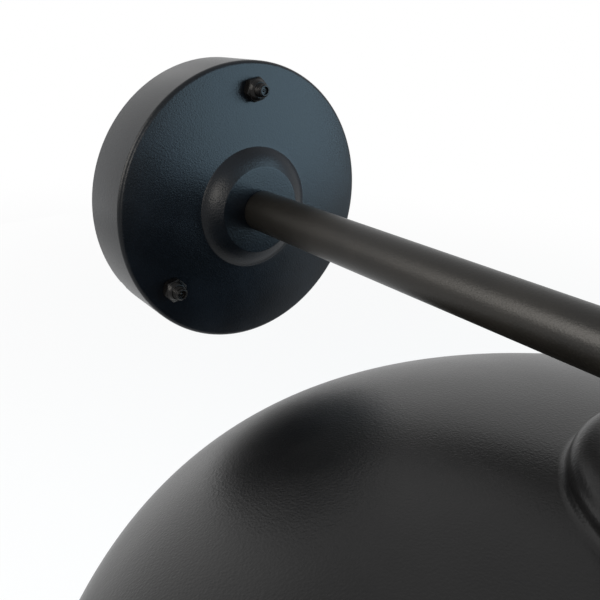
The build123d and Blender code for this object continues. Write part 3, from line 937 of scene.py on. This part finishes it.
@dataclass
class Lampholder(ArmEnd):
    """The threaded lampholder body with its ceramic insert, screw shell and centre contact."""

    radius: float = 19.6
    thread_depth: float = 0.7
    thread_pitch: float = 2.5
    flange: float = 21.2
    flange_bottom: float = -12.65
    flange_top: float = -10.65
    head_radius: float = 17.0
    head_top: float = -4.0
    bottom: float = -52.0
    bore: float = 15.05
    mouth: float = 12.0
    lead_in: float = 2.4
    thread_top: float = -16.9
    insert_radius: float = 15.0
    insert_bore: float = 2.15
    insert_top: float = -7.05
    insert_bottom: float = -15.05
    recess_radius: float = 5.6
    recess_depth: float = 0.8
    wire_hole: float = 0.85
    wire_place: Point = (-9.0, 0.0)
    shell_top: float = -15.1
    shell_opening: float = 7.0
    shell_band: float = 14.0
    shell_wall: float = 0.4
    band_length: float = 6.0
    shell_low: float = -45.1
    shell_thread: float = 13.3
    shell_wave: float = 0.45
    shell_pitch: float = 3.63
    wave_points: int = 12
    contact_head: float = 4.5
    contact_height: float = 1.4
    contact_gap: float = 3.0
    contact_stem: float = 1.8
    contact_length: float = 10.0

    def body(self) -> None:
        """The moulded body, threaded outside for the shade ring."""
        core, start = self.radius - self.thread_depth, self.bottom + self.lead_in
        side, head, top = self.radius - 0.1, self.head_radius, self.insert_top + FIT
        corners = [(self.bore, self.bottom, 0.8), (side, self.bottom, 0.8), (side, start, 0.2)]
        corners += [(core, start + 0.5, 0.1), (core, self.thread_top - 0.5, 0.1)]
        corners += [(self.radius, self.thread_top, 0.1), (self.radius, self.flange_bottom, 0.1)]
        corners += [(self.flange, self.flange_bottom, 0.3), (self.flange, self.flange_top, 0.3)]
        corners += [(head, self.flange_top, 0.3), (head, self.head_top, 0.6), (self.mouth, self.head_top, 0.4)]
        corners += [(self.mouth, top, 0.0), (self.bore, top, 0.0)]
        piece = Piece.turned("holder_moulding", rounded(corners, closed=True), 128)
        ridge = Piece.thread("ridge", core, self.radius - FIT, self.thread_pitch, start, self.thread_top + 0.3)
        self.hang(piece.joined(ridge), Slot.HOLDER, "holder_body")

    def insert(self) -> None:
        """The ceramic insert, with a shallow recess round the contact."""
        bore, edge, outer = self.insert_bore, self.recess_radius, self.insert_radius
        low, recess, top = self.insert_bottom, self.insert_bottom + self.recess_depth, self.insert_top
        corners = [(bore, recess, 0.2), (edge, recess, 0.3), (edge + 0.6, low, 0.2)]
        corners += [(outer, low, 0.4), (outer, top, 0.4), (bore, top, 0.2)]
        piece = Piece.turned("ceramic_insert", rounded(corners, closed=True))
        piece.cut(Piece.drum("tool", self.wire_hole, -20, 0, 20, self.wire_place))
        self.hang(piece, Slot.CERAMIC, "holder_insert")

    def shell(self) -> None:
        """The pressed screw shell: a plain band at its closed end and a rolled thread below."""
        band, top = self.shell_top - self.band_length, self.shell_top - self.shell_wall
        middle = self.shell_thread + self.shell_wave + self.shell_wall / 2
        wall = [(self.shell_opening, top, 0.0), (self.shell_band, top, 0.5), (self.shell_band, band, 0.3)]
        wall += [(middle, band - 0.4, 0.2), (middle, band - 0.8, 0.0)]
        outline = rounded(wall)
        piece = Piece.turned("screw_shell_band", outline + inside(outline, -self.shell_wall))
        meet = band - 0.6
        start = self.shell_low - self.shell_pitch
        shares = [step / self.wave_points for step in range(self.wave_points + 1)]
        wave = [(middle + math.cos(math.tau * s) * self.shell_wave, start + self.shell_pitch * s) for s in shares]
        repeats = math.ceil((meet - self.shell_low) / self.shell_pitch) + 1
        merged = {"iterations": repeats, "use_merge_vertices": True, "merge_threshold": TURN_POINT}
        thread = Piece.traced("screw_shell_wall", wave).swept(1.0, self.shell_pitch, 72, merged)
        edit(thread.made)
        bpy.ops.mesh.remove_doubles(threshold=SEAM_POINT)
        for height, way in ((meet, 1), (self.shell_low, -1)):
            bpy.ops.mesh.select_all(action="SELECT")
            bpy.ops.mesh.bisect(plane_co=(0, 0, height * MM), plane_no=(0, 0, way), clear_outer=True, use_fill=False)
        bpy.ops.mesh.select_all(action="SELECT")
        bpy.ops.mesh.normals_make_consistent(inside=False)
        thread.modify("SOLIDIFY", {"thickness": self.shell_wall * MM, "offset": 0.0, "use_even_offset": True})
        self.hang(piece.joined(thread), Slot.ALUMINIUM, "screw_shell")

    def contact(self) -> None:
        """The sprung centre contact: a domed button on a stem."""
        top = self.insert_bottom - self.contact_gap
        low, end = top - self.contact_height, top + self.contact_length
        head, stem = self.contact_head, self.contact_stem
        corners = [(0, low, 0.0), (head * 0.55, low + 0.12, 0.0), (head, low + 0.55, 0.5), (head, top, 0.25)]
        corners += [(stem, top, 0.2), (stem, end, 0.3), (0, end, 0.0)]
        piece = Piece.turned("contact_button", rounded(corners), 48)
        self.hang(piece, Slot.BRASS, "centre_contact", "centre_contact")

    def build(self) -> None:
        """Build the sub-assembly."""
        self.body()
        self.insert()
        self.shell()
        self.contact()


@dataclass
class Wiring:
    """The pieces inside the canopy, arm and cup, which keep their CAD shapes and get finishes."""

    finishes: tuple[tuple[Slot, tuple[str, ...]], ...] = (
        (Slot.STEEL, ("stud_back_nuts", "terminal_screws", "block_screw", "earth_lug", "arm_nipple")),
        (Slot.STEEL, ("nipple_washer", "nipple_nut", "holder_terminal_screws")),
        (Slot.BRASS, ("terminal_tubes", "earth_screw", "arm_plug", "shell_pin", "holder_terminals")),
        (Slot.BLOCK, ("terminal_block",)),
        (Slot.RUBBER, ("arm_grommet",)),
        (Slot.LIVE, ("live_wire",)),
        (Slot.NEUTRAL, ("neutral_wire",)),
        (Slot.EARTH, ("earth_wire",)),
    )

    def build(self) -> None:
        """Dress each CAD node."""
        for slot, nodes in self.finishes:
            for node in nodes:
                slot.dress(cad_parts[node])
                log.info("%s: finish %s", node, slot.value[0])


# ---- Studio ----
@dataclass(frozen=True)
class Lamp:
    """A soft square lamp on a ball round the light, aimed at its middle."""

    name: str
    azimuth: float
    height: float
    brightness: float
    colour: Colour = (1.0, 1.0, 1.0)
    side: float = 0.6
    distance: float = 1.5
    aim: Corner = (0.0, -0.15, 0.0)

    def build(self) -> None:
        """Add the lamp; brightness is the radiance of its face, where a white surround is 1."""
        data = bpy.data.lights.new(self.name, "AREA")
        data.shape = "SQUARE"
        data.size = self.side
        data.energy = self.brightness * math.pi * self.side**2
        data.color = self.colour
        lamp = bpy.data.objects.new(self.name, data)
        turn, lift = math.radians(self.azimuth), math.radians(self.height)
        way = Vector((math.cos(turn) * math.cos(lift), math.sin(turn) * math.cos(lift), math.sin(lift)))
        lamp.location = Vector(self.aim) + way * self.distance
        lamp.rotation_euler = (-way).to_track_quat("-Z", "Y").to_euler()
        bpy.context.scene.collection.objects.link(lamp)


@dataclass
class Studio:
    """Camera at the photograph's place, a pale floor, a white surround and soft lamps."""

    camera_place: Corner = (-0.14324, -0.23586, 0.05998)
    camera_right: Corner = (0.81689, -0.57500, 0.04714)
    camera_up: Corner = (0.15397, 0.29600, 0.94266)
    focal_pixels: float = 670.87
    centre_pixels: Point = (268.41, 278.18)
    picture: float = 600.0
    sensor: float = 36.0
    surround_light: float = 0.3
    floor_height: float = -0.42
    floor_size: float = 30.0
    floor_colour: Colour = (0.92, 0.92, 0.92)
    floor_white: float = 0.8
    floor_fade: Point = (0.3, 2.2)
    lamps: tuple[Lamp, ...] = (
        Lamp("front_left", 236.0, 13.0, 9.5, (1.0, 0.95, 0.88)),
        Lamp("front_right", 309.0, 11.0, 6.9, (0.5, 0.79, 1.0), 1.3),
        Lamp("left", 163.0, 24.0, 7.0, (1.0, 0.95, 0.88), 1.0),
        Lamp("rear", 100.0, 12.0, 0.5, side=1.5),
    )

    def camera(self) -> None:
        """The camera, solved from the photograph."""
        right = Vector(self.camera_right).normalized()
        back = right.cross(Vector(self.camera_up)).normalized()
        up = back.cross(right)
        turn = Matrix((right, up, back)).transposed().to_4x4()
        data = bpy.data.cameras.new("camera")
        data.sensor_width = self.sensor
        data.lens = self.sensor * self.focal_pixels / self.picture
        data.shift_x = (self.picture / 2 - self.centre_pixels[0]) / self.picture
        data.shift_y = (self.centre_pixels[1] - self.picture / 2) / self.picture
        data.clip_start, data.clip_end = 0.005, 50.0
        camera = bpy.data.objects.new("camera", data)
        camera.matrix_world = Matrix.Translation(self.camera_place) @ turn
        bpy.context.scene.collection.objects.link(camera)
        bpy.context.scene.camera = camera

    def seen(self, sheet: NodeSheet) -> Value:
        """1 for rays from the camera or off or through a glossy surface, else 0."""
        path = sheet.node("ShaderNodeLightPath")
        rays = [Value(sheet, path.outputs[f"Is {kind} Ray"]) for kind in ("Camera", "Glossy", "Transmission")]
        return (rays[0] + rays[1] + rays[2]).step(0.0, 1.0)

    def surround(self) -> None:
        """A white surround: full strength where it is seen or mirrored, softer as light."""
        world = bpy.data.worlds.new("surround")
        world.use_nodes = True
        sheet = NodeSheet(world.node_tree)
        strength = self.seen(sheet) * (1.0 - self.surround_light) + self.surround_light
        white = sheet.node("ShaderNodeBackground", None, {"Color": (1.0, 1.0, 1.0, 1.0), "Strength": strength})
        sheet.node("ShaderNodeOutputWorld", None, {"Surface": white.outputs[0]})
        bpy.context.scene.world = world

    def floor(self) -> None:
        """The pale floor: it keeps a faint shadow, turns white further out, and is clear from below."""
        deselect()
        bpy.ops.mesh.primitive_plane_add(size=self.floor_size, location=(0, 0, self.floor_height))
        floor = bpy.context.active_object
        floor.name = "floor"
        made, sheet = new_sheet("pale_floor")
        pale = sheet.node("ShaderNodeBsdfDiffuse", None, {"Color": (*self.floor_colour, 1.0)})
        white = sheet.node("ShaderNodeEmission", None, {"Color": (1.0, 1.0, 1.0, 1.0), "Strength": 1.0})
        away = sheet.node("ShaderNodeVectorMath", {"operation": "LENGTH"}, {0: sheet.place()})
        faded = Value(sheet, away.outputs["Value"]).step(*self.floor_fade)
        share = self.seen(sheet) * (faded * (1.0 - self.floor_white) + self.floor_white)
        top = sheet.node("ShaderNodeMixShader", None, {0: share, 1: pale.outputs[0], 2: white.outputs[0]})
        under = sheet.node("ShaderNodeNewGeometry").outputs["Backfacing"]
        clear = sheet.node("ShaderNodeBsdfTransparent")
        both = sheet.node("ShaderNodeMixShader", None, {0: under, 1: top.outputs[0], 2: clear.outputs[0]})
        sheet.node("ShaderNodeOutputMaterial", None, {"Surface": both.outputs[0]})
        floor.data.materials.append(made)

    def build(self) -> None:
        """Build the studio."""
        bpy.context.scene.view_settings.view_transform = "Standard"
        self.camera()
        self.surround()
        self.floor()
        for lamp in self.lamps:
            lamp.build()


def main() -> None:
    """Build every sub-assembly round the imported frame."""
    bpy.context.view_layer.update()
    for part in (Studio(), Canopy(), Arm(), LampCup(), Shade(), Lampholder(), Wiring()):
        part.build()
        log.info("built %s", type(part).__name__)


if __name__ == "__main__":
    main()
